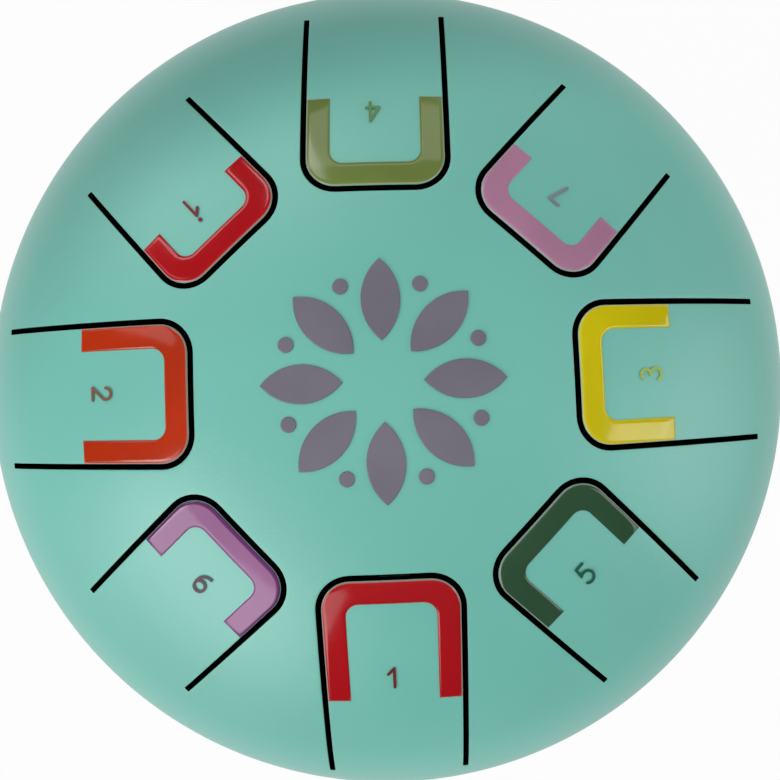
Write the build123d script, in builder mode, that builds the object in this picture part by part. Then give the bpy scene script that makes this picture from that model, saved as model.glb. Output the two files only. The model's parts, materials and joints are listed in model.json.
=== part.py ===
from build123d import *
from math import atan2, cos, degrees, radians, sin
import os

# Shells: two steel pressings, lapped at a seam round the drum's widest part
drum_diameter = 152.0
sheet = 1.5
dome_height = 44.0  # crown above the plane where the dome's wall turns upright
dome_shoulder_radius = 28.0
pan_shoulder_radius = 26.0
top_skirt = 3.0  # upright wall from the dome's shoulder down to the seam
bottom_skirt = 7.0  # upright wall from the pan's shoulder up to the seam
lap_height = 2.4  # the pan's stepped rim, tucked inside the top skirt
lap_clearance = 0.1
seam_round = 0.4
sound_hole_diameter = 36.0
hole_round = 0.5
overrun = 5.0  # how far cuts run past the solid that they cut

# Tongues: cut free by U-shaped slots, lower notes longer, with their tips on a ring
tongue_width = 23.2
tongue_corner = 5.0
slot_width = 1.0
rib_width = 4.3  # steel between neighbouring slots whose tips stand on the ring
flexure_gap = 0.2  # parts a tongue's root from the dome
# Each note's bearing about the axis and how far its tongue is cut askew about its own middle, in degrees,
# then shares: how far its tip stands back from the ring, in tongue widths, its root's distance from the
# axis, in drum radii, and its sticker's legs, in lengths of the tongue behind the sticker's bar
notes = {
    "1": {"angle": -90.1, "skew": 0.4, "tip_share": 0.01, "root_share": 0.919, "leg_share": 0.526},
    "2": {"angle": 180.5, "skew": -1.3, "tip_share": 0, "root_share": 0.889, "leg_share": 0.491},
    "3": {"angle": 0.1, "skew": 0.8, "tip_share": 0, "root_share": 0.872, "leg_share": 0.411},
    "4": {"angle": 89.9, "skew": -0.8, "tip_share": 0.01, "root_share": 0.87, "leg_share": 0.402},
    "5": {"angle": -45, "skew": 0.9, "tip_share": 0.07, "root_share": 0.848, "leg_share": 0.386},
    "6": {"angle": -135.1, "skew": -3.3, "tip_share": 0.1, "root_share": 0.829, "leg_share": 0.357},
    "7": {"angle": 45, "skew": 2.5, "tip_share": 0.03, "root_share": 0.798, "leg_share": 0.327},
    "high_1": {"angle": 134.6, "skew": -2.9, "tip_share": 0.05, "root_share": 0.799, "leg_share": 0.288},
}

# Stickers: thick vinyl on the tongue tips, a bar and two legs
vinyl = 0.22
glue_film = 0.04
sticker_inset = 0.2
sticker_band = 4.2
sticker_corner = 2.2  # inner corners

# Numbers: thin vinyl strokes, with their tops towards the crown
number_height = 3.5
number_stroke = 0.5
# Each number's place: along the room behind the sticker's bar, in shares of that room, and aside from the
# tongue's middle line, in number heights
number_places = {
    "1": {"along_share": 0.385, "aside_share": -0.06},
    "2": {"along_share": 0.347, "aside_share": -0.09},
    "3": {"along_share": 0.245, "aside_share": -0.04},
    "4": {"along_share": 0.281, "aside_share": 0.09},
    "5": {"along_share": 0.292, "aside_share": -0.12},
    "6": {"along_share": 0.232, "aside_share": 0.14},
    "7": {"along_share": 0.206, "aside_share": 0},
    "high_1": {"along_share": 0.213, "aside_share": 0.2},
}
# Strokes as points, across and up from the middle, in number heights: two make a line, three an arc
stroke_shares = {
    "1": [[(0.07, -0.5), (0.07, 0.5)], [(0.07, 0.5), (-0.22, 0.2)]],
    "2": [
        [(-0.28, 0.22), (0, 0.5), (0.24, 0.08)],
        [(0.24, 0.08), (-0.3, -0.5)],
        [(-0.3, -0.5), (0.3, -0.5)],
    ],
    "3": [[(-0.22, 0.42), (0.22, 0.25), (-0.06, 0.03)], [(-0.06, 0.03), (0.27, -0.24), (-0.27, -0.38)]],
    "4": [[(0.12, -0.5), (0.12, 0.5)], [(0.12, 0.5), (-0.3, -0.22)], [(-0.3, -0.22), (0.3, -0.22)]],
    "5": [
        [(0.24, 0.5), (-0.18, 0.5)],
        [(-0.18, 0.5), (-0.24, 0.05)],
        [(-0.24, 0.05), (0.28, -0.16), (-0.26, -0.4)],
    ],
    "6": [
        [(0.2, 0.46), (-0.18, 0.28), (-0.28, -0.2)],
        [(-0.28, -0.2), (0, 0.08), (0.28, -0.2)],
        [(-0.28, -0.2), (0, -0.48), (0.28, -0.2)],
    ],
    "7": [[(-0.28, 0.5), (0.28, 0.5)], [(0.28, 0.5), (-0.06, -0.5)]],
}
octave_dot_diameter = 0.75
octave_dot_gap = 0.35

# Rosette: grey vinyl leaves and dots round the crown
rosette_radius = 20.0
rosette_heart_radius = 6.5
leaf_width = 6.4
leaf_count = 8
rosette_dot_diameter = 2.6
dot_place_share = 0.84  # of the rosette's radius

# Feet: three rubber bumpers, each held by a screw, a washer and a nut inside the drum
foot_count = 3
foot_height = 6.0
foot_top_diameter = 14.0
foot_base_diameter = 12.0
foot_round = 0.8
foot_web = 3.0  # rubber between the screw head and the pan
foot_margin = 1.0  # from a foot's edge to the end of the pan's flat floor
screw_diameter = 3.0
screw_head_diameter = 5.6
screw_head_height = 1.8
screw_head_round = 0.6
screw_end = 0.8  # thread past the nut
recess_length = 3.2
recess_width = 0.8
recess_depth = 1.1
bore_clearance = 0.2
head_clearance = 0.4
thread_clearance = 0.05
washer_diameter = 7.0
washer_thickness = 0.5
nut_width = 5.5
nut_height = 2.4

# Heights above the surface that the drum stands on
pan_shoulder_height = foot_height + pan_shoulder_radius
seam = pan_shoulder_height + bottom_skirt
dome_plane = seam + top_skirt
drum_height = dome_plane + dome_height

# The dome: a crown arc about the axis, tangent to the shoulder's arc
drum_radius = drum_diameter / 2
dome_shoulder = drum_radius - dome_shoulder_radius
crown_rise = dome_height - dome_shoulder_radius
crown_radius = (dome_shoulder**2 + dome_height**2 - dome_shoulder_radius**2) / (2 * crown_rise)
crown_centre = drum_height - crown_radius
tangent_angle = degrees(atan2(dome_plane - crown_centre, dome_shoulder))

# The ring of tongue tips: rounded slot corners of neighbours on it stand one rib apart
tongue_step = 360 / len(notes)
half_step = radians(tongue_step / 2)
slot_corner = tongue_corner + slot_width
corner_reach = slot_corner + rib_width / 2 + (tongue_width / 2 - tongue_corner) * cos(half_step)
tip_ring = corner_reach / sin(half_step) - slot_corner + slot_width

pan_floor_radius = drum_radius - pan_shoulder_radius
foot_ring = pan_floor_radius - foot_margin - foot_top_diameter / 2
foot_start = -90
pan_floor = foot_height + sheet
screw_seat = foot_height - foot_web
bore_radius = screw_diameter / 2 + bore_clearance

# Sections are drawn between two tongues, so that no tongue holds the seam of a revolved face
section_plane = Plane(
    origin=(0, 0, 0),
    x_dir=(cos(half_step), sin(half_step), 0),
    z_dir=(sin(half_step), -cos(half_step), 0),
)


def tip_of(note):
    return tip_ring + notes[note]["tip_share"] * tongue_width


def root_of(note):
    return notes[note]["root_share"] * drum_radius


# A plane whose x runs along the tongue's middle line, out from beside the axis
def note_plane(note):
    bearing = notes[note]["angle"]
    heading = bearing + notes[note]["skew"]
    middle = Vector((tip_of(note) + root_of(note)) / 2, 0, 0)
    origin = middle.rotate(Axis.Z, bearing) - middle.rotate(Axis.Z, heading)
    return Plane(origin=origin, x_dir=middle.rotate(Axis.Z, heading), z_dir=(0, 0, 1))


def bar_end_of(note):
    return tip_of(note) + sticker_inset + sticker_band


# Section of a layer over the dome, between two distances out from its outer face
def dome_section(low, high, bottom):
    with BuildSketch(section_plane) as section:
        with BuildLine():
            outer_crown = CenterArc(
                (0, crown_centre), crown_radius + high, tangent_angle, 90 - tangent_angle
            )
            outer_shoulder = CenterArc(
                (dome_shoulder, dome_plane), dome_shoulder_radius + high, 0, tangent_angle
            )
            inner_crown = CenterArc(
                (0, crown_centre), crown_radius + low, tangent_angle, 90 - tangent_angle
            )
            inner_shoulder = CenterArc(
                (dome_shoulder, dome_plane), dome_shoulder_radius + low, 0, tangent_angle
            )
            Line(outer_crown @ 1, inner_crown @ 1)
            Polyline(
                outer_shoulder @ 0,
                (drum_radius + high, bottom),
                (drum_radius + low, bottom),
                inner_shoulder @ 0,
            )
        make_face()
    return section.sketch


# A tab that lies along a tongue, seen from above, with its two inner corners rounded
def tab(note, start, end, width, corner):
    with BuildSketch(note_plane(note)) as outline:
        with Locations((start, 0)):
            Rectangle(end - start, width, align=(Align.MIN, Align.CENTER))
        fillet(outline.vertices().group_by(Axis.X)[0], corner)
    return outline.sketch


# A number's strokes, seen from above, with its top towards the crown
def number_outline(note):
    free_length = root_of(note) - bar_end_of(note) - number_height
    share = number_places[note]
    place = bar_end_of(note) + number_height / 2 + share["along_share"] * free_length
    base = note_plane(note)
    middle = base.from_local_coords((place, share["aside_share"] * number_height, 0))
    plane = Plane(origin=middle, x_dir=base.y_dir, z_dir=(0, 0, 1))
    paths = []
    for stroke in stroke_shares[note[-1]]:
        points = [(across * number_height, up * number_height) for across, up in stroke]
        make_path = ThreePointArc if len(points) > 2 else Line
        paths.append(make_path(*points, mode=Mode.PRIVATE))
    with BuildSketch(plane) as outline:
        for path in paths:
            SlotArc(path, number_stroke)
        if note.startswith("high"):
            dot_centre = (number_height + number_stroke + octave_dot_diameter) / 2 + octave_dot_gap
            stem_across = stroke_shares["1"][0][0][0] * number_height
            with Locations((stem_across, dot_centre)):
                Circle(octave_dot_diameter / 2)
    return outline.sketch


def write_piece(piece, name):
    piece.part.label = name
    export_step(piece.part, f"parts/{name}.step")


os.makedirs("parts", exist_ok=True)

# Top shell: the dome and its skirt, with a window for each tongue and its slot
with BuildPart() as top_shell:
    revolve(dome_section(-sheet, 0, seam), axis=Axis.Z)
    level_rings = top_shell.edges().filter_by(GeomType.CIRCLE).filter_by(Plane.XY)
    fillet(level_rings.group_by(Axis.Z)[0].sort_by(SortBy.RADIUS)[-1], seam_round)
    for note in notes:
        window = tab(
            note,
            tip_of(note) - slot_width,
            root_of(note),
            tongue_width + 2 * slot_width,
            slot_corner,
        )
        extrude(window, amount=drum_height + overrun, mode=Mode.SUBTRACT)
write_piece(top_shell, "top_shell")

# Tongues: the same sheet, cut to the slot's inner edge
for note in notes:
    with BuildPart() as tongue:
        revolve(dome_section(-sheet, 0, seam), axis=Axis.Z)
        blade = tab(note, tip_of(note), root_of(note) - flexure_gap, tongue_width, tongue_corner)
        extrude(blade, amount=drum_height + overrun, mode=Mode.INTERSECT)
    write_piece(tongue, f"tongue_{note}")

# Stickers: a tab of vinyl along the tongue's edge, open towards the root
for note in notes:
    with BuildPart() as sticker:
        revolve(dome_section(glue_film, glue_film + vinyl, seam), axis=Axis.Z)
        bar_end = bar_end_of(note)
        leg_end = bar_end + notes[note]["leg_share"] * (root_of(note) - bar_end)
        sticker_width = tongue_width - 2 * sticker_inset
        outer_tab = tab(
            note,
            tip_of(note) + sticker_inset,
            leg_end,
            sticker_width,
            tongue_corner - sticker_inset,
        )
        opening_tab = tab(
            note, bar_end, leg_end + overrun, sticker_width - 2 * sticker_band, sticker_corner
        )
        extrude(outer_tab, amount=drum_height + overrun, mode=Mode.INTERSECT)
        extrude(opening_tab, amount=drum_height + overrun, mode=Mode.SUBTRACT)
    write_piece(sticker, f"tongue_sticker_{note}")

# Numbers
for note in notes:
    with BuildPart() as number:
        revolve(dome_section(glue_film, glue_film + vinyl, seam), axis=Axis.Z)
        extrude(number_outline(note), amount=drum_height + overrun, mode=Mode.INTERSECT)
    write_piece(number, f"number_{note}")

# Rosette: a ring of pointed leaves, with a dot between each two
with BuildSketch(Plane.XY) as leaf:
    with BuildLine():
        heart = (rosette_heart_radius, 0)
        point = (rosette_radius, 0)
        middle = (rosette_heart_radius + rosette_radius) / 2
        ThreePointArc(heart, (middle, leaf_width / 2), point)
        ThreePointArc(heart, (middle, -leaf_width / 2), point)
    make_face()
with BuildSketch(Plane.XY) as rosette_outline:
    with PolarLocations(0, leaf_count):
        add(leaf.sketch)
    with PolarLocations(rosette_radius * dot_place_share, leaf_count, start_angle=180 / leaf_count):
        Circle(rosette_dot_diameter / 2)
with BuildPart() as centre_rosette:
    revolve(dome_section(glue_film, glue_film + vinyl, seam), axis=Axis.Z)
    extrude(rosette_outline.sketch, amount=drum_height + overrun, mode=Mode.INTERSECT)
write_piece(centre_rosette, "centre_rosette")

# Bottom shell: a flat-floored pan with the sound hole, and a stepped rim inside the top skirt
rim_radius = drum_radius - sheet - lap_clearance
step_in = sheet + lap_clearance
with BuildPart() as bottom_shell:
    with BuildSketch(section_plane):
        with BuildLine():
            shoulder_centre = (pan_floor_radius, pan_shoulder_height)
            outer_shoulder = CenterArc(shoulder_centre, pan_shoulder_radius, -90, 90)
            inner_shoulder = CenterArc(shoulder_centre, pan_shoulder_radius - sheet, -90, 90)
            Polyline(
                outer_shoulder @ 1,
                (drum_radius, seam),
                (rim_radius, seam),
                (rim_radius, seam + lap_height),
                (rim_radius - sheet, seam + lap_height),
                (rim_radius - sheet, seam - sheet),
                (drum_radius - sheet, seam - sheet - step_in),
                inner_shoulder @ 1,
            )
            Polyline(
                outer_shoulder @ 0,
                (sound_hole_diameter / 2, foot_height),
                (sound_hole_diameter / 2, pan_floor),
                inner_shoulder @ 0,
            )
        make_face()
    revolve(axis=Axis.Z)
    level_rings = bottom_shell.edges().filter_by(GeomType.CIRCLE).filter_by(Plane.XY)
    fillet(level_rings.group_by(SortBy.RADIUS)[0], hole_round)
    fillet(level_rings.filter_by_position(Axis.Z, seam, seam).sort_by(SortBy.RADIUS)[-1], seam_round)
    with Locations(Plane.XY.offset(pan_floor)):
        with PolarLocations(foot_ring, foot_count, start_angle=foot_start):
            Hole(bore_radius, depth=sheet)
write_piece(bottom_shell, "bottom_shell")

# Rubber feet: tapered bumpers with a counterbore from below for the screw
with BuildPart() as foot:
    Cone(
        foot_base_diameter / 2,
        foot_top_diameter / 2,
        foot_height,
        align=(Align.CENTER, Align.CENTER, Align.MIN),
    )
    fillet(foot.edges().group_by(Axis.Z)[0], foot_round)
    with Locations(-Plane.XY):
        CounterBoreHole(
            bore_radius, screw_head_diameter / 2 + head_clearance, screw_seat, depth=foot_height
        )
foot_places = PolarLocations(foot_ring, foot_count, start_angle=foot_start).locations
for index, place in enumerate(foot_places, start=1):
    with BuildPart() as rubber_foot:
        add(foot.part.moved(place))
    write_piece(rubber_foot, f"rubber_foot_{index}")

# Screws: round-edged heads up inside the feet, with a cross recess, and plain shanks
shank_length = foot_web + sheet + washer_thickness + nut_height + screw_end
with BuildPart(Plane.XY.offset(screw_seat)) as foot_screws:
    with PolarLocations(foot_ring, foot_count, start_angle=foot_start):
        Cylinder(
            screw_head_diameter / 2,
            screw_head_height,
            align=(Align.CENTER, Align.CENTER, Align.MAX),
        )
    fillet(foot_screws.edges().group_by(Axis.Z)[0], screw_head_round)
    with BuildSketch(Plane.XY.offset(screw_seat - screw_head_height)):
        with PolarLocations(foot_ring, foot_count, start_angle=foot_start):
            Rectangle(recess_length, recess_width)
            Rectangle(recess_width, recess_length)
    extrude(amount=recess_depth, mode=Mode.SUBTRACT)
    with PolarLocations(foot_ring, foot_count, start_angle=foot_start):
        Cylinder(
            screw_diameter / 2, shank_length, align=(Align.CENTER, Align.CENTER, Align.MIN)
        )
write_piece(foot_screws, "foot_screws")

# Washers, flat on the pan's floor
with BuildPart() as foot_washers:
    with BuildSketch(Plane.XY.offset(pan_floor)):
        with PolarLocations(foot_ring, foot_count, start_angle=foot_start):
            Circle(washer_diameter / 2)
            Circle(bore_radius, mode=Mode.SUBTRACT)
    extrude(amount=washer_thickness)
write_piece(foot_washers, "foot_washers")

# Nuts, on the washers
with BuildPart() as foot_nuts:
    with BuildSketch(Plane.XY.offset(pan_floor + washer_thickness)):
        with PolarLocations(foot_ring, foot_count, start_angle=foot_start):
            RegularPolygon(nut_width / 2, 6, major_radius=False)
            Circle(screw_diameter / 2 + thread_clearance, mode=Mode.SUBTRACT)
    extrude(amount=nut_height)
write_piece(foot_nuts, "foot_nuts")
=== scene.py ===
import json
import math

import bpy
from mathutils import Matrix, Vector, geometry, kdtree


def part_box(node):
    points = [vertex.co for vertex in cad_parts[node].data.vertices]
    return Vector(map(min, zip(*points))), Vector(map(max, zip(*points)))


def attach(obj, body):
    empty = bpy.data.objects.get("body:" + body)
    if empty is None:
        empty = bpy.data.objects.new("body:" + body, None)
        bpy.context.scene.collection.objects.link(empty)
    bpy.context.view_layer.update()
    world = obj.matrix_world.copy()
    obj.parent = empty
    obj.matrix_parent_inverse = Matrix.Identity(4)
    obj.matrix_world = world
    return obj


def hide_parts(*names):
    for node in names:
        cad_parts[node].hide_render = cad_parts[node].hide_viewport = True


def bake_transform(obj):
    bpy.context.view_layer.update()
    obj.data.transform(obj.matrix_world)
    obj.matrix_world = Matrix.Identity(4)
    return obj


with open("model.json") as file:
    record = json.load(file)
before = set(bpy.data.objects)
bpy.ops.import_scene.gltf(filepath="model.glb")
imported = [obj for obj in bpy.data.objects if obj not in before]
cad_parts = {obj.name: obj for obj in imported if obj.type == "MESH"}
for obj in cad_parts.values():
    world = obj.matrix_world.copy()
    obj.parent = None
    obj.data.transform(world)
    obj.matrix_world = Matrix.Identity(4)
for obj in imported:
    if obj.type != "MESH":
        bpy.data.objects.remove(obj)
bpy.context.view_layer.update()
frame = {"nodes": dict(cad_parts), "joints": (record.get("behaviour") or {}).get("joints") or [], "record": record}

tiny = 1e-9  # two places nearer than this, in metres, are one


# A socket that can be reckoned with, for shaders and geometry trees alike
class Wire:
    def __init__(self, tree, socket=None):
        self.tree = tree
        self.socket = socket

    # Any node: its type, then its settings, then values or wires for its sockets
    def node(self, kind, settings=None, inputs=None, out=0):
        made = self.tree.nodes.new(kind)
        for name, value in (settings or {}).items():
            setattr(made, name, value)
        for name, value in (inputs or {}).items():
            if isinstance(value, Wire):
                self.tree.links.new(value.socket, made.inputs[name])
            else:
                made.inputs[name].default_value = value
        return Wire(self.tree, made.outputs[out])

    def out(self, name):
        return Wire(self.tree, self.socket.node.outputs[name])

    def math(self, operation, *values):
        return self.node("ShaderNodeMath", {"operation": operation}, dict(enumerate(values)))

    def vector(self, operation, *values, out=0):
        return self.node("ShaderNodeVectorMath", {"operation": operation}, dict(enumerate(values)), out)

    def __add__(self, other):
        return self.math("ADD", self, other)

    def __radd__(self, other):
        return self.math("ADD", other, self)

    def __sub__(self, other):
        return self.math("SUBTRACT", self, other)

    def __rsub__(self, other):
        return self.math("SUBTRACT", other, self)

    def __mul__(self, other):
        return self.math("MULTIPLY", self, other)

    def __rmul__(self, other):
        return self.math("MULTIPLY", other, self)

    def __truediv__(self, other):
        return self.math("DIVIDE", self, other)

    def __rtruediv__(self, other):
        return self.math("DIVIDE", other, self)

    # A vector made longer or shorter by a number
    def scaled(self, amount):
        return self.node("ShaderNodeVectorMath", {"operation": "SCALE"}, {0: self, "Scale": amount})

    # How high a vector reaches, and a vector that reaches straight up
    def rise(self):
        return self.node("ShaderNodeSeparateXYZ", None, {0: self}, 2)

    def upright(self, height):
        return self.node("ShaderNodeCombineXYZ", None, {2: height})

    # A colour between two others, by a share
    def tint(self, share, low, high):
        return self.node("ShaderNodeMix", {"data_type": "RGBA"}, {0: share, 6: low, 7: high}, 2)

    # A share that climbs from 0 to 1 between two values
    def climb(self, low, high):
        return self.node("ShaderNodeMapRange", {"interpolation_type": "SMOOTHSTEP"},
                         {"Value": self, "From Min": low, "From Max": high})


# Links a wire to a socket of a node that is there already
def plug(node, name, wire):
    wire.tree.links.new(wire.socket, node.inputs[name])


def addObject(name, data):
    made = bpy.data.objects.new(name, data)
    bpy.context.scene.collection.objects.link(made)
    return made


# sRGB as a colour picker shows it, turned to linear
def paint(red, green, blue):
    shade = [c / 255 for c in (red, green, blue)]
    return tuple(c / 12.92 if c <= 0.04045 else ((c + 0.055) / 1.055) ** 2.4 for c in shade) + (1.0,)


def darker(colour, share):
    return tuple(c * share for c in colour[:3]) + (1.0,)


# Each finish is one material, with a pen that draws nodes in its tree
def finish(name, look):
    material = bpy.data.materials.new(name)
    material.use_nodes = True
    pen = Wire(material.node_tree)
    where = pen.node("ShaderNodeTexCoord").out("Object")
    look(pen, where, pen.tree.nodes["Principled BSDF"])
    return material


# In the finishes, a noise is a scale and a detail, and a reach is where a share climbs from 0 to 1
def noise(pen, where, sizes):
    scale, detail = sizes
    return pen.node("ShaderNodeTexNoise", None, {"Vector": where, "Scale": scale, "Detail": detail})


def emboss(pen, shader, height, distance=1.0):
    bump = pen.node("ShaderNodeBump", None, {"Strength": 1.0, "Distance": distance, "Height": height})
    plug(shader, "Normal", bump)


mintPaint = {
    "colour": paint(107, 181, 167), "deep": paint(101, 174, 160), "clouds": (14.0, 3.0),
    "cloudReach": (0.3, 0.7), "cloudRoughness": 0.06,
    "speck": paint(40, 80, 76), "speckScale": 90.0, "speckReach": (0.008, 0.02),
    "speckChoice": (0.72, 0.74), "speckStrength": 0.7,
    "peel": (1250.0, 1.0), "peelHeight": 0.000024,
    "grain": (3600.0, 1.0), "grainHeight": 0.0000016, "grainRoughness": 0.05,
    "roughness": 0.4, "gloss": 0.9, "glossTint": (0.72, 0.72, 0.72, 1.0),
    # The steel colour is near black: painted shade on the cut walls, the underside and the pan's inside
    "steel": paint(7, 7, 7), "bareRoughness": 0.6, "paintDepth": (0.00006, 0.0001),
    "middle": (0.0, 0.0, 0.045),
}


# The dome's paint ends where the slots were cut: their walls and its underside are near-black steel, painted shade
# for the dark inside of the drum
def bareAndShadedByDepth(pen, where):
    depth = pen.node("ShaderNodeAttribute", {"attribute_name": "blankDepth"}).out("Fac")
    return depth.climb(*mintPaint["paintDepth"])


# The pan is unpainted near-black steel inside too, where it faces the middle of the drum: painted shade for the
# dark inside of the drum
def bareAndShadedInside(pen, where):
    normal = pen.node("ShaderNodeNewGeometry").out("True Normal")
    inward = pen.vector("SUBTRACT", mintPaint["middle"], where)
    return pen.math("GREATER_THAN", pen.vector("DOT_PRODUCT", normal, inward, out="Value"), 0.0)


def mintLook(bareShadeShare):
    def look(pen, where, shader):
        s = mintPaint
        clouds = noise(pen, where, s["clouds"]).climb(*s["cloudReach"])
        cells = pen.node("ShaderNodeTexVoronoi", {"feature": "F1"},
                         {"Vector": where, "Scale": s["speckScale"]})
        chance = pen.node("ShaderNodeSeparateColor", None, {"Color": cells.out("Color")})
        specks = (1 - cells.climb(*s["speckReach"])) * chance.climb(*s["speckChoice"])
        shade = pen.tint(clouds, s["deep"], s["colour"])
        shade = pen.tint(specks * s["speckStrength"], shade, s["speck"])
        # Where the paint ends the colour turns near black, painted shade for the inside of the drum
        bareShade = bareShadeShare(pen, where)
        plug(shader, "Base Color", pen.tint(bareShade, shade, s["steel"]))
        plug(shader, "Metallic", bareShade)
        grain = noise(pen, where, s["grain"])
        emboss(pen, shader, noise(pen, where, s["peel"]) * s["peelHeight"] + grain * s["grainHeight"])
        uneven = (clouds - 0.5) * s["cloudRoughness"] + (grain - 0.5) * s["grainRoughness"]
        plug(shader, "Roughness", s["roughness"] + bareShade * s["bareRoughness"] + uneven)
        shader.inputs["Specular IOR Level"].default_value = s["gloss"]
        shader.inputs["Specular Tint"].default_value = s["glossTint"]
    return look


vinyl = {
    "roughness": 0.09, "numberRoughness": 0.42, "gloss": 0.4, "fade": 0.86,
    "patches": (60.0, 3.0), "patchReach": (0.25, 0.75), "patchRoughness": 0.05,
    "waves": (130.0, 1.0), "waveHeight": 0.00005,
    "grain": (1800.0, 2.0), "grainHeight": 0.0000012, "grainRoughness": 0.1,
}
inkColours = {
    "red_vinyl": paint(163, 5, 16), "orange_vinyl": paint(173, 44, 6), "yellow_vinyl": paint(199, 184, 2),
    "olive_vinyl": paint(105, 123, 60), "green_vinyl": paint(40, 73, 49), "purple_vinyl": paint(134, 72, 126),
    "mauve_vinyl": paint(167, 118, 146), "grey_vinyl": paint(110, 106, 118),
}
# The numbers are of thinner vinyl, which the paint shows through
numberColours = {
    "red_vinyl": paint(102, 8, 20), "orange_vinyl": paint(120, 80, 62), "yellow_vinyl": paint(158, 180, 84),
    "olive_vinyl": paint(87, 130, 80), "green_vinyl": paint(25, 82, 64), "purple_vinyl": paint(66, 30, 58),
    "mauve_vinyl": paint(126, 126, 137),
}
# A sticker's cut edge shows pale, partly a painted highlight along the edge; the purple one has a dark border
# painted as shade on its rolled-over edge
paleAndShadedRims = dict.fromkeys(numberColours, {"colour": paint(190, 180, 168), "strength": 0.4, "reach": (0.8, 0.92)})
# The purple rim is painted shade, darker where the vinyl rolls over the tongue's edge
paleAndShadedRims["purple_vinyl"] = {"colour": paint(92, 36, 88), "strength": 0.9, "reach": (0.32, 0.5)}


def vinylLook(colour, roughness, rim=None):
    def look(pen, where, shader):
        s = vinyl
        patches = noise(pen, where, s["patches"]).climb(*s["patchReach"])
        shade = pen.tint(patches, darker(colour, s["fade"]), colour)
        # Near the outer edge the colour is tinted: pale partly as a painted highlight, the purple darker as
        # painted shade
        if rim:
            nearness = pen.node("ShaderNodeAttribute", {"attribute_name": "rimShare"}).out("Fac")
            shade = pen.tint(nearness.climb(*rim["reach"]) * rim["strength"], shade, rim["colour"])
        plug(shader, "Base Color", shade)
        grain = noise(pen, where, s["grain"])
        emboss(pen, shader, noise(pen, where, s["waves"]) * s["waveHeight"] + grain * s["grainHeight"])
        uneven = (grain - 0.5) * s["grainRoughness"] + (patches - 0.5) * s["patchRoughness"]
        plug(shader, "Roughness", roughness + uneven)
        shader.inputs["Specular IOR Level"].default_value = s["gloss"]
    return look


rubber = {
    "colour": paint(30, 30, 31), "roughness": 0.72,
    "dust": paint(54, 53, 51), "patches": (220.0, 4.0), "dustReach": (0.45, 0.75),
    "grain": (2600.0, 2.0), "grainRoughness": 0.2, "grainHeight": 0.00002,
}


def rubberLook(pen, where, shader):
    s = rubber
    dusty = noise(pen, where, s["patches"]).climb(*s["dustReach"])
    grain = noise(pen, where, s["grain"])
    plug(shader, "Base Color", pen.tint(dusty, s["colour"], s["dust"]))
    plug(shader, "Roughness", s["roughness"] + (grain - 0.5) * s["grainRoughness"])
    emboss(pen, shader, grain, s["grainHeight"])


zinc = {
    "bright": paint(196, 198, 200), "dull": paint(150, 151, 148), "roughness": 0.34,
    "bloom": (420.0, 5.0), "bloomReach": (0.35, 0.65), "bloomRoughness": 0.3,
    "lines": (900.0, 2.0), "lineStretch": (1.0, 1.0, 14.0), "lineHeight": 0.00001,
}


def zincLook(pen, where, shader):
    s = zinc
    bloom = noise(pen, where, s["bloom"])
    plug(shader, "Base Color", pen.tint(bloom.climb(*s["bloomReach"]), s["dull"], s["bright"]))
    plug(shader, "Roughness", s["roughness"] + (bloom - 0.5) * s["bloomRoughness"])
    stretched = pen.vector("MULTIPLY", where, s["lineStretch"])
    emboss(pen, shader, noise(pen, stretched, s["lines"]), s["lineHeight"])
    shader.inputs["Metallic"].default_value = 1.0


finishes = {"mint_paint": finish("mintPaint", mintLook(bareAndShadedByDepth)),
            "foot_rubber": finish("footRubber", rubberLook), "zinc_steel": finish("zincSteel", zincLook)}
# The pan's finish: mint paint outside, painted shade inside
panPaint = finish("panPaint", mintLook(bareAndShadedInside))
numberInks = {}
for slotName, colour in inkColours.items():
    stickerLook = vinylLook(colour, vinyl["roughness"], paleAndShadedRims.get(slotName))
    finishes[slotName] = finish(slotName.replace("_", ""), stickerLook)
for slotName, colour in numberColours.items():
    numberLook = vinylLook(colour, vinyl["numberRoughness"])
    numberInks[slotName] = finish(slotName.replace("_vinyl", "NumberInk"), numberLook)
slotOf = {row["node"]: row["material_slot"] for row in frame["record"]["subparts"]}
for nodeName, node in frame["nodes"].items():
    inks = numberInks if nodeName.startswith("number_") else finishes
    node.data.materials.clear()
    node.data.materials.append(panPaint if nodeName == "bottom_shell" else inks[slotOf[nodeName]])
print("finishes made:", len(finishes) + len(numberInks) + 1)

# The dome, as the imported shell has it: a crown arc that runs into a shoulder arc and an upright skirt
dome = {"shoulder": 0.028, "skirt": 0.003, "sheet": 0.0015}
shellLow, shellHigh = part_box("top_shell")
drumRadius = (shellHigh.x - shellLow.x) / 2
crownTop = shellHigh.z
domeRise = crownTop - shellLow.z - dome["skirt"]
shoulderReach = drumRadius - dome["shoulder"]
crownRadius = (shoulderReach**2 + domeRise**2 - dome["shoulder"]**2) / (2 * (domeRise - dome["shoulder"]))
crownTurn = math.asin(shoulderReach / (crownRadius - dome["shoulder"]))
crownArc = crownRadius * crownTurn
shoulderArc = dome["shoulder"] * (math.pi / 2 - crownTurn)
blankRadius = crownArc + shoulderArc + dome["skirt"]


# The flat blank: each point of the plan, moved out to its arc length from the crown
def onBlank(x, y, height=0.0):
    out = math.hypot(x, y)
    if out < tiny:
        return (x, y, height)
    if out <= crownRadius * math.sin(crownTurn):
        arc = crownRadius * math.asin(out / crownRadius)
    else:
        arc = crownArc + dome["shoulder"] * (math.asin((out - shoulderReach) / dome["shoulder"]) - crownTurn)
    return (x * arc / out, y * arc / out, height)


# And back: a point of the blank, moved in to its place on the plan
def onPlan(x, y):
    arc = math.hypot(x, y)
    if arc < tiny:
        return (x, y)
    turn = min(arc, crownArc) / crownRadius
    bend = turn + min(max(arc - crownArc, 0), shoulderArc) / dome["shoulder"]
    out = crownRadius * math.sin(turn) + dome["shoulder"] * (math.sin(bend) - math.sin(turn))
    return (x * out / arc, y * out / arc)


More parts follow.
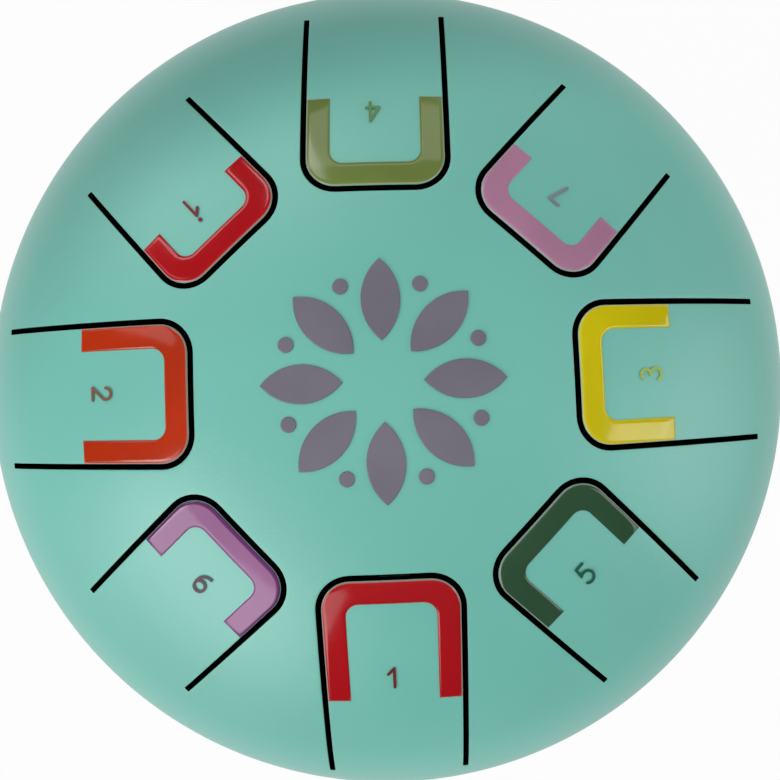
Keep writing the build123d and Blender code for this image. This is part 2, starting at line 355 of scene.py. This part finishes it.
# Presses a flat blank on the dome: the height over the blank becomes a height over the dome's face
def pressNodes(pen, blank, sizes):
    level = (1.0, 1.0, 0.0)
    where = pen.node("GeometryNodeInputPosition")
    plan = pen.vector("MULTIPLY", where, level)
    arc = pen.vector("LENGTH", plan, out="Value")
    outward = pen.vector("NORMALIZE", plan)
    height = where.rise()
    turn = pen.math("MINIMUM", arc, sizes["Crown Arc"]) / sizes["Crown Radius"]
    along = pen.math("MINIMUM", pen.math("MAXIMUM", arc - sizes["Crown Arc"], 0.0), sizes["Shoulder Arc"])
    bend = turn + along / sizes["Shoulder Radius"]
    drop = pen.math("MAXIMUM", arc - sizes["Crown Arc"] - sizes["Shoulder Arc"], 0.0)
    sinTurn, cosTurn = pen.math("SINE", turn), pen.math("COSINE", turn)
    sinBend, cosBend = pen.math("SINE", bend), pen.math("COSINE", bend)
    out = sizes["Crown Radius"] * sinTurn + sizes["Shoulder Radius"] * (sinBend - sinTurn) + height * sinBend
    fall = sizes["Crown Radius"] * (1 - cosTurn) + sizes["Shoulder Radius"] * (cosTurn - cosBend) + drop
    top = sizes["Crown Top"] - fall + height * cosBend
    # The blank's normals turn with the sheet, so the shading is as smooth as the dome itself
    flat = pen.node("GeometryNodeInputNormal")
    leaning, rising = pen.vector("DOT_PRODUCT", flat, outward, out="Value"), flat.rise()
    sideways = pen.vector("MULTIPLY", pen.vector("SUBTRACT", flat, outward.scaled(leaning)), level)
    radial = outward.scaled(leaning * cosBend + rising * sinBend)
    upward = pen.upright(rising * cosBend - leaning * sinBend)
    normal = pen.vector("ADD", pen.vector("ADD", radial, sideways), upward)
    # Normals and depths are worked out on the blank, so they are stored before the points move
    kept = pen.node("GeometryNodeStoreNamedAttribute", {"data_type": "FLOAT_VECTOR", "domain": "POINT"},
                    {"Geometry": blank, "Name": "turnedNormal", "Value": normal})
    kept = pen.node("GeometryNodeStoreNamedAttribute", {"data_type": "FLOAT", "domain": "POINT"},
                    {"Geometry": kept, "Name": "blankDepth", "Value": 0 - height})
    place = pen.vector("ADD", outward.scaled(out), pen.upright(top))
    pressed = pen.node("GeometryNodeSetPosition", None, {"Geometry": kept, "Position": place})
    stored = pen.node("GeometryNodeInputNamedAttribute", {"data_type": "FLOAT_VECTOR"},
                      {"Name": "turnedNormal"})
    shaded = pen.node("GeometryNodeSetMeshNormal", {"mode": "FREE", "domain": "POINT"},
                      {"Mesh": pressed, "Custom Normal": stored})
    return pen.node("GeometryNodeRemoveAttribute", None, {"Geometry": shaded, "Name": "turnedNormal"})


pressSizes = {"Crown Radius": crownRadius, "Crown Arc": crownArc, "Shoulder Radius": dome["shoulder"],
              "Shoulder Arc": shoulderArc, "Crown Top": crownTop}


# The tree: copies of the blank round the crown, pressed on the dome
def pressTree():
    tree = bpy.data.node_groups.new("pressOnDome", "GeometryNodeTree")
    face = tree.interface
    face.new_socket("Geometry", in_out="INPUT", socket_type="NodeSocketGeometry")
    for name in pressSizes:
        face.new_socket(name, in_out="INPUT", socket_type="NodeSocketFloat")
    face.new_socket("Copies", in_out="INPUT", socket_type="NodeSocketInt")
    face.new_socket("Finish", in_out="INPUT", socket_type="NodeSocketMaterial")
    face.new_socket("Geometry", in_out="OUTPUT", socket_type="NodeSocketGeometry")
    pen = Wire(tree)
    given = pen.node("NodeGroupInput")
    copies = given.out("Copies")
    points = pen.node("GeometryNodePoints", None, {"Count": copies})
    step = pen.node("GeometryNodeInputIndex") * math.tau / copies
    turn = pen.node("FunctionNodeEulerToRotation", None, {"Euler": pen.upright(step)})
    ring = pen.node("GeometryNodeInstanceOnPoints", None,
                    {"Points": points, "Instance": given.out("Geometry"), "Rotation": turn})
    blank = pen.node("GeometryNodeRealizeInstances", None, {"Geometry": ring})
    shaped = pressNodes(pen, blank, {name: given.out(name) for name in pressSizes})
    done = pen.node("GeometryNodeSetMaterial", None, {"Geometry": shaped, "Material": given.out("Finish")})
    plug(tree.nodes.new("NodeGroupOutput"), 0, done)
    return tree


domePress = pressTree()


def press(name, points, faces, finishName, copies=1, rimShares=None):
    blank = bpy.data.meshes.new(name + "Blank")
    blank.from_pydata(points, [], faces)
    blank.shade_smooth()
    if rimShares:
        blank.attributes.new("rimShare", "FLOAT", "POINT").data.foreach_set("value", rimShares)
    piece = addObject(name, blank)
    modifier = piece.modifiers.new("press", "NODES")
    modifier.node_group = domePress
    values = dict(pressSizes, Copies=copies, Finish=finishes[finishName])
    for item in domePress.interface.items_tree:
        if item.in_out == "INPUT" and item.name in values:
            modifier[item.identifier] = values[item.name]
    shaped = bpy.data.meshes.new_from_object(piece.evaluated_get(bpy.context.evaluated_depsgraph_get()))
    piece.modifiers.remove(modifier)
    piece.data = shaped
    shaped.name = name
    bpy.data.meshes.remove(blank)
    return piece


# A U open at its far end, from its left leg round the tip to its right leg, as points of the plan
def uPath(tip, end, half, corner, steps):
    legs, turns, bars = steps
    bow = tip + corner
    points = [(end + (bow - end) * k / legs, half) for k in range(legs)]
    for k in range(turns):
        angle = math.pi / 2 * (1 + k / turns)
        points.append((bow + corner * math.cos(angle), half - corner + corner * math.sin(angle)))
    points += [(tip, (half - corner) * (1 - 2 * k / bars)) for k in range(bars)]
    for k in range(turns):
        angle = math.pi / 2 * (2 + k / turns)
        points.append((bow + corner * math.cos(angle), corner - half + corner * math.sin(angle)))
    return points + [(bow + (end - bow) * k / legs, -half) for k in range(legs + 1)]


def roundCorner(across, up, radius, first, last, steps):
    angles = [math.radians(first + (last - first) * k / steps) for k in range(steps + 1)]
    return [(across + radius * math.cos(a), up + radius * math.sin(a)) for a in angles]


# Quads between two closed rows of points
def strip(high, low):
    size = len(high)
    return [(high[(i + 1) % size], high[i], low[i], low[(i + 1) % size]) for i in range(size)]


def turnsLeft(spots, corners):
    a, b, c = (spots[k] for k in corners)
    return (b - a).cross(c - a) > 0


tongueCut = {
    "half": 0.0116, "corner": 0.005, "slot": 0.001, "slotCorner": 0.0002, "rootGap": 0.0002,
    "steps": (22, 10, 12), "capSteps": 4, "seamStep": 1,
    "rollWidth": 0.0006, "rollDepth": 0.00007, "rollSteps": 6, "guard": 0.0004, "burr": 0.0001,
    "flexLength": 0.009,  # how far from its root a tongue does most of its bending
}

# Each tongue's middle line comes from its hinge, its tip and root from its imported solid
tongues = {}
for joint in frame["joints"]:
    note = joint["child"].replace("sounding_tongue_", "")
    hinge, axis = Vector(joint["pos_m"][:2]), joint["axis"]
    ahead = Vector((-axis[1], axis[0]))
    places = [v.co.xy.dot(ahead) for v in frame["nodes"]["tongue_" + note].data.vertices]
    legs = [v.co.xy.dot(ahead) for v in frame["nodes"]["tongue_sticker_" + note].data.vertices]
    tongues[note] = {"foot": hinge - ahead * hinge.dot(ahead), "ahead": ahead, "aside": ahead.orthogonal(),
                     "tip": min(places), "end": max(places) + tongueCut["rootGap"], "legEnd": max(legs),
                     "body": joint["child"]}


def turned(tongue, along, across):
    return tongue["foot"] + tongue["ahead"] * along + tongue["aside"] * across


# How far a point of the plan lies inside a tongue's edge
def insideEdge(tongue, along, across):
    cut = tongueCut
    inTip, inSide = along - tongue["tip"], cut["half"] - abs(across)
    if inTip < cut["corner"] and inSide < cut["corner"]:
        return cut["corner"] - math.hypot(cut["corner"] - inTip, cut["corner"] - inSide)
    return min(inTip, inSide)


# The punched edge rolls down a little before the wall of the cut
def edgeDrop(inside):
    cut = tongueCut
    share = min(max(1 - inside / cut["rollWidth"], 0), 1)
    return cut["rollDepth"] * (math.sqrt(1 - share * share) - 1)


# The outline of a slot, grown into the steel on both sides
def slotRing(tongue, grow):
    cut = tongueCut
    end = tongue["end"] - cut["slotCorner"]
    near, far = cut["half"] + cut["slotCorner"], cut["half"] + cut["slot"] - cut["slotCorner"]
    radius = cut["slotCorner"] + grow
    inner = uPath(tongue["tip"] + grow, end, cut["half"] - grow, cut["corner"] - grow, cut["steps"])
    wide = cut["slot"] + grow
    outer = uPath(tongue["tip"] - wide, end, cut["half"] + wide, cut["corner"] + wide, cut["steps"])[::-1]
    right = roundCorner(end, -near, radius, 90, 0, cut["capSteps"])[1:]
    right += roundCorner(end, -far, radius, 0, -90, cut["capSteps"])[:-1]
    left = roundCorner(end, far, radius, 90, 0, cut["capSteps"])[1:]
    left += roundCorner(end, near, radius, 0, -90, cut["capSteps"])[:-1]
    return inner + right + outer + left


# Rows down a cut edge: how far into the steel, and how high
def edgeRows():
    cut = tongueCut
    rows = [(cut["rollWidth"] + cut["guard"], 0.0)]
    for k in range(cut["rollSteps"] + 1):
        angle = math.pi / 2 * k / cut["rollSteps"]
        rows.append((cut["rollWidth"] * (1 - math.sin(angle)), cut["rollDepth"] * (math.cos(angle) - 1)))
    return rows + [(0.0, cut["burr"] - dome["sheet"]), (cut["burr"], -dome["sheet"])]


sheetGrid = {"spacing": 0.0012, "clear": 0.0009, "rimPoints": 432, "rimRound": 0.0004, "rimSteps": 4,
             "chordPoints": 10}


# Rows over the rim of the blank: how far out, and how high
def rimRows():
    grid = sheetGrid
    rows = []
    for k in range(grid["rimSteps"] + 1):
        angle = math.pi / 2 * k / grid["rimSteps"]
        rows.append((grid["rimRound"] * (math.sin(angle) - 1), grid["rimRound"] * (math.cos(angle) - 1)))
    return rows + [(0.0, -dome["sheet"])]


# A tongue's side of its slot is the first stretch of the ring, and its root's seam joins that stretch's ends
legSteps, turnSteps, barSteps = tongueCut["steps"]
seamLeft = tongueCut["seamStep"]
seamRight = 2 * (legSteps + turnSteps) + barSteps - tongueCut["seamStep"]


# One face of the sheet, filled with triangles between the rim and the slots
def fillFace(points, rimLoop, slotLoops, chords, height):
    flat = [Vector(points[i][:2]) for i in rimLoop]
    owner = list(rimLoop)
    count = len(rimLoop)
    edges = [(i, (i + 1) % count) for i in range(count)]
    index = {}
    for loop, chord in zip(slotLoops, chords):
        for i in loop + chord:
            index[i] = len(flat)
            flat.append(Vector(points[i][:2]))
            owner.append(i)
        edges += [(index[a], index[b]) for a, b in zip(loop, loop[1:] + loop[:1])]
        row = [loop[seamLeft]] + chord + [loop[seamRight]]
        edges += [(index[a], index[b]) for a, b in zip(row, row[1:])]
    tree = kdtree.KDTree(len(flat))
    for i, place in enumerate(flat):
        tree.insert((place.x, place.y, 0), i)
    tree.balance()
    step = sheetGrid["spacing"]
    for ring in range(int(blankRadius / step) + 1):
        around = max(6 * ring, 1)
        for k in range(around):
            angle = math.tau * (k + 0.5 * (ring % 2)) / around
            place = Vector((ring * step * math.cos(angle), ring * step * math.sin(angle)))
            if place.length < blankRadius - step and tree.find((place.x, place.y, 0))[2] > sheetGrid["clear"]:
                flat.append(place)
                owner.append(len(points))
                points.append((place.x, place.y, height))
    spots, _, triangles, origins, _, _ = geometry.delaunay_2d_cdt(flat, edges, [], 0, tiny)
    found = []
    for corners in triangles:
        middle = sum((spots[k] for k in corners), Vector((0, 0))) / 3
        ids = [owner[origins[k][0]] for k in corners]
        found.append((ids if turnsLeft(spots, corners) else [ids[0], ids[2], ids[1]], onPlan(*middle)))
    return found


# Where a point of the plan belongs: a tongue, the shell, or the slot between them
def ownerOf(place, grow):
    corner = tongueCut["slotCorner"]
    for note, tongue in tongues.items():
        spot = Vector(place) - tongue["foot"]
        along, across = spot.dot(tongue["ahead"]), spot.dot(tongue["aside"])
        if along > 0:
            inside = insideEdge(tongue, along, across)
            if inside > grow and along < tongue["seam"]:
                return note
            beyond = max(along - tongue["end"] + corner, 0)
            beside = max(inside + corner, corner - tongueCut["slot"] - inside, 0)
            if math.hypot(beyond, beside) < corner + grow:
                return "slot"
    return "shell"


# The pressed sheet as one blank, then parted at each tongue's root
def sheetFaces():
    points, faces = [], []
    rows = edgeRows()
    slotLoops = {}
    for note, tongue in tongues.items():
        loops = []
        for grow, height in rows:
            ring = slotRing(tongue, grow)
            loops.append(list(range(len(points), len(points) + len(ring))))
            points += [onBlank(*turned(tongue, *place), height) for place in ring]
        slotLoops[note] = loops
        tongue["seam"] = slotRing(tongue, 0)[seamLeft][0]
        for high, low in zip(loops, loops[1:]):
            for i, quad in enumerate(strip(high, low)):
                faces.append((note if seamLeft <= i < seamRight else "shell", quad))
    rimLoops = []
    for shift, height in rimRows():
        out, count = blankRadius + shift, sheetGrid["rimPoints"]
        rimLoops.append(list(range(len(points), len(points) + count)))
        for k in range(count):
            angle = math.tau * k / count
            points.append((out * math.cos(angle), out * math.sin(angle), height))
    for high, low in zip(rimLoops, rimLoops[1:]):
        faces += [("shell", quad) for quad in strip(high, low)]
    # Both faces of the sheet, with a chord across each root
    chords = {}
    for side, row in (("top", 0), ("under", -1)):
        grow, height = rows[row]
        for note, tongue in tongues.items():
            ring = slotRing(tongue, grow)
            left, right = ring[seamLeft], ring[seamRight]
            chords[note, side] = []
            for k in range(1, sheetGrid["chordPoints"] + 1):
                across = left[1] + (right[1] - left[1]) * (k / (sheetGrid["chordPoints"] + 1))
                chords[note, side].append(len(points))
                points.append(onBlank(*turned(tongue, left[0], across), height))
        found = fillFace(points, rimLoops[row], [slotLoops[n][row] for n in tongues],
                         [chords[n, side] for n in tongues], height)
        for corners, place in found:
            part = ownerOf(place, grow)
            if part != "slot":
                faces.append((part, corners if side == "top" else corners[::-1]))
    # A wall across each root closes both pieces, on corners of its own
    walls = []
    for note, loops in slotLoops.items():
        upper = [loops[0][seamLeft]] + chords[note, "top"] + [loops[0][seamRight]]
        lower = [loops[-1][seamLeft]] + chords[note, "under"] + [loops[-1][seamRight]]
        wall = [(upper[i], lower[i], lower[i + 1], upper[i + 1]) for i in range(len(upper) - 1)]
        wall.append([loop[seamLeft] for loop in loops])
        wall.append([loop[seamRight] for loop in loops][::-1])
        walls.append((note, wall))
    return points, faces, walls


# One piece of the parted sheet, with only its own points
def partOf(points, faces, walls, part):
    spots, found, ids = [], [], {}

    def take(corner, key):
        if key not in ids:
            ids[key] = len(spots)
            spots.append(points[corner])
        return ids[key]

    for name, corners in faces:
        if name == part:
            found.append([take(c, c) for c in corners])
    for note, wall in walls:
        if part in ("shell", note):
            for corners in wall:
                order = corners if part == note else corners[::-1]
                found.append([take(c, (note, c)) for c in order])
    return spots, found


sheet = sheetFaces()
shell = press("shell", *partOf(*sheet, "shell"), "mint_paint")
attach(shell, "drum")
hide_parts("top_shell")
for note, tongue in tongues.items():
    blade = press("tongueBlade_" + note, *partOf(*sheet, note), "mint_paint")
    root = Vector((*turned(tongue, tongue["seam"], 0), crownTop))
    bent = Vector((*turned(tongue, tongue["seam"] - tongueCut["flexLength"], 0), crownTop))
    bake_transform(blade)
    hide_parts("tongue_" + note)
print("dome pressed:", len(sheet[1]), "faces in", 1 + len(tongues), "pieces")


# A plate of vinyl: rows of the outline from its foot to its top, then a fill above and below
def plate(rows):
    points, faces, loops = [], [], []
    for row in rows:
        loops.append(list(range(len(points), len(points) + len(row))))
        points += row
    for low, high in zip(loops, loops[1:]):
        faces += strip(high, low)
    for loop, upward in ((loops[-1], True), (loops[0], False)):
        flat = [Vector(points[i][:2]) for i in loop]
        outline = list(range(len(flat)))
        spots, _, triangles, origins, _, _ = geometry.delaunay_2d_cdt(flat, [], [outline], 1, tiny)
        for corners in triangles:
            ids = [loop[origins[k][0]] for k in corners]
            faces.append(ids if turnsLeft(spots, corners) == upward else ids[::-1])
    return points, faces


# A row is how far in from the outline, and how high over the foot
sticker = {"inset": 0.00006, "band": 0.00395, "corner": 0.0022, "steps": (12, 10, 12), "foot": 0.00002,
           "rows": [(0.0, 0.0), (0.0, 0.00006), (0.00004, 0.0001), (0.00018, 0.00018), (0.00034, 0.00024),
                    (0.0005, 0.00026), (0.0008, 0.00026), (0.0011, 0.00026)]}


def stickerRow(tongue, inset, height):
    s, cut = sticker, tongueCut
    edge = s["inset"] + inset
    end = tongue["legEnd"] - inset
    hollow = s["inset"] + s["band"] - inset
    outer = uPath(tongue["tip"] + edge, end, cut["half"] - edge, cut["corner"] - edge, s["steps"])
    inner = uPath(tongue["tip"] + hollow, end, cut["half"] - hollow, s["corner"] + inset, s["steps"])
    row = []
    for along, across in outer + inner[::-1]:
        lift = s["foot"] + height + edgeDrop(insideEdge(tongue, along, across))
        row.append(onBlank(*turned(tongue, along, across), lift))
    return row


# How near each point lies to the outer edge: 1 on it, and 0 from the last row inwards and round the hollow
def stickerRims(count):
    deepest = sticker["rows"][-1][0]
    shares = []
    for inset, height in sticker["rows"]:
        shares += [1 - inset / deepest] * (count // 2) + [0.0] * (count // 2)
    return shares


for note, tongue in tongues.items():
    rows = [stickerRow(tongue, inset, height) for inset, height in sticker["rows"]]
    label = press("uSticker_" + note, *plate(rows), slotOf["tongue_sticker_" + note],
                  rimShares=stickerRims(len(rows[0])))
    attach(label, tongue["body"])
    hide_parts("tongue_sticker_" + note)
print("stickers laid:", len(tongues))

rosette = {"copies": 8, "heart": 0.0065, "point": 0.02, "width": 0.0064, "arcSteps": 18,
           "dotPlace": 0.0168, "dotRadius": 0.0013, "dotSteps": 28, "mitre": 0.4,
           "rows": [(0.0, 0.0), (0.0, 0.00012), (0.00004, 0.0002), (0.00012, 0.00025), (0.00024, 0.00026)]}


# Moves each point of a closed outline inwards, square to its neighbours, and not too far at a sharp point
def drawIn(outline, amount):
    moved = []
    for before, here, after in zip(outline[-1:] + outline[:-1], outline, outline[1:] + outline[:1]):
        first = (Vector(here) - Vector(before)).normalized().orthogonal()
        second = (Vector(after) - Vector(here)).normalized().orthogonal()
        middle = (first + second).normalized()
        moved.append(Vector(here) + middle * amount / max(middle.dot(first), rosette["mitre"]))
    return moved


def rosetteBlank():
    s = rosette
    length, sag = s["point"] - s["heart"], s["width"] / 2
    radius = (length**2 / 4 + sag**2) / (2 * sag)
    spread = math.asin(length / 2 / radius)
    middle = (s["point"] + s["heart"]) / 2
    sweep = [spread * (1 - 2 * k / s["arcSteps"]) for k in range(s["arcSteps"])]
    leaf = [(middle + radius * math.sin(a), radius * math.cos(a) + sag - radius) for a in sweep]
    leaf += [(middle - radius * math.sin(a), radius - radius * math.cos(a) - sag) for a in sweep]
    half = math.pi / s["copies"]
    centre = Vector((s["dotPlace"] * math.cos(half), s["dotPlace"] * math.sin(half)))
    dot = roundCorner(centre.x, centre.y, s["dotRadius"], 0, 360, s["dotSteps"])[:-1]
    points, faces = [], []
    for outline in (leaf, dot):
        rows = []
        for amount, height in s["rows"]:
            rows.append([onBlank(*spot, sticker["foot"] + height) for spot in drawIn(outline, amount)])
        spots, found = plate(rows)
        faces += [[corner + len(points) for corner in face] for face in found]
        points += spots
    return points, faces


crownRosette = press("crownRosette", *rosetteBlank(), "grey_vinyl", rosette["copies"])
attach(crownRosette, "drum")
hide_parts("centre_rosette")
print("rosette laid:", rosette["copies"], "leaves and dots")

# Floor, light and camera
stage = {
    "floor": 3.0, "floorColour": (0.42, 0.42, 0.42, 1.0), "floorRoughness": 0.9,
    "shadowGlow": 0.55, "floorGlow": 0.97, "shadowReach": (0.05, 0.09),
    "horizon": 0.115, "zenith": 0.33, "zenithPower": 3.0, "zenithLean": (-0.08, -0.19, 0.98),
}
floorMesh = bpy.data.meshes.new("floor")
edge = stage["floor"]
floorCorners = [(-edge, -edge, 0), (edge, -edge, 0), (edge, edge, 0), (-edge, edge, 0)]
floorMesh.from_pydata(floorCorners, [], [(0, 1, 2, 3)])
floor = addObject("floor", floorMesh)


def seenRay(pen):
    path = pen.node("ShaderNodeLightPath")
    seen = pen.math("MAXIMUM", path.out("Is Camera Ray"), path.out("Is Glossy Ray"))
    return pen.math("MAXIMUM", seen, path.out("Is Transmission Ray"))


# White to the eye, but less so under the drum, where its shadow lies, and clear from below
def floorLook(pen, where, shader):
    shader.inputs["Base Color"].default_value = stage["floorColour"]
    shader.inputs["Roughness"].default_value = stage["floorRoughness"]
    away = pen.vector("LENGTH", where, out="Value").climb(*stage["shadowReach"])
    share = stage["shadowGlow"] + away * (stage["floorGlow"] - stage["shadowGlow"])
    lit = Wire(pen.tree, shader.outputs[0])
    glowing = pen.node("ShaderNodeMixShader", None,
                       {0: seenRay(pen) * share, 1: lit, 2: pen.node("ShaderNodeEmission")})
    below = pen.node("ShaderNodeNewGeometry").out("Backfacing")
    clear = pen.node("ShaderNodeBsdfTransparent")
    face = pen.node("ShaderNodeMixShader", None, {0: below, 1: glowing, 2: clear})
    plug(pen.tree.nodes["Material Output"], "Surface", face)


floorMesh.materials.append(finish("floorPaint", floorLook))

world = bpy.data.worlds.new("room")
bpy.context.scene.world = world
world.use_nodes = True
pen = Wire(world.node_tree)
sky = pen.tree.nodes["Background"]
sky.inputs["Color"].default_value = (1.0, 1.0, 1.0, 1.0)
toward = pen.node("ShaderNodeTexCoord").out("Generated")
cameraRay = pen.node("ShaderNodeLightPath").out("Is Camera Ray")
overhead = pen.math("MAXIMUM", pen.vector("DOT_PRODUCT", toward, stage["zenithLean"], out="Value"), 0.0)
soft = stage["horizon"] + pen.math("POWER", overhead, stage["zenithPower"]) * stage["zenith"]
plug(sky, "Strength", soft + cameraRay * (1 - soft))

# Soft boxes: bearing from the right of the picture, angle from straight up, width, height and brightness
softBoxes = {
    "leftFront": (226, 61, 1.0, 0.34, 1.94),
    "leftFrontGlow": (226, 62, 1.05, 0.8, 1.72),
    "leftCore": (202, 60, 0.2, 0.32, 3.33),
    "left": (159, 58, 0.24, 0.34, 1.24),
    "right": (350, 75, 0.85, 0.36, 2.71),
    "rightCore": (346, 60, 0.24, 0.3, 2.89),
    "backRight": (48, 76, 1.3, 0.32, 0.7),
    "back": (92, 60, 0.75, 0.32, 1.42),
    "backCore": (112, 55, 0.25, 0.36, 2.91),
    "backLeftCore": (135, 63, 0.34, 0.28, 3.25),
    "backLeft": (144, 75, 0.55, 0.36, 0.92),
}
boxDistance = 1.2
boxPower = 4.0  # watts from a square metre of brightness 1
for name, (bearing, tilt, width, height, brightness) in softBoxes.items():
    lamp = bpy.data.lights.new(name, "AREA")
    lamp.shape = "RECTANGLE"
    lamp.size, lamp.size_y = width, height
    lamp.energy = brightness * boxPower * width * height
    holder = addObject(name, lamp)
    turn, lift = math.radians(bearing), math.radians(tilt)
    away = Vector((math.cos(turn) * math.sin(lift), math.sin(turn) * math.sin(lift), math.cos(lift)))
    holder.location = away * boxDistance + Vector((0, 0, crownTop))
    holder.rotation_euler = away.to_track_quat("Z", "Y").to_euler()

# A lamp straight above, whose round pool of light ends on the far left of the drum
beam = {"place": (0.0169, -0.0363), "height": 1.2, "reach": 0.103, "blend": 0.35, "bulb": 0.002,
        "power": 20.0}
bulb = bpy.data.lights.new("beam", "SPOT")
bulb.energy, bulb.shadow_soft_size, bulb.spot_blend = beam["power"], beam["bulb"], beam["blend"]
bulb.spot_size = 2 * math.atan2(beam["reach"], beam["height"])
holder = addObject("beam", bulb)
holder.location = (*beam["place"], crownTop + beam["height"])
holder.visible_glossy = False

eye = {"place": (0.00245, -0.00463, 0.277), "turn": (0.942, 0.465, -2.078), "lens": 55.19, "sensor": 36.0,
       "nearest": 0.01}
camera = bpy.data.cameras.new("eye")
camera.lens, camera.sensor_width, camera.clip_start = eye["lens"], eye["sensor"], eye["nearest"]
viewer = addObject("eye", camera)
viewer.location = eye["place"]
viewer.rotation_euler = [math.radians(angle) for angle in eye["turn"]]
bpy.context.scene.camera = viewer
bpy.context.scene.view_settings.view_transform = "Standard"
print("stage set")
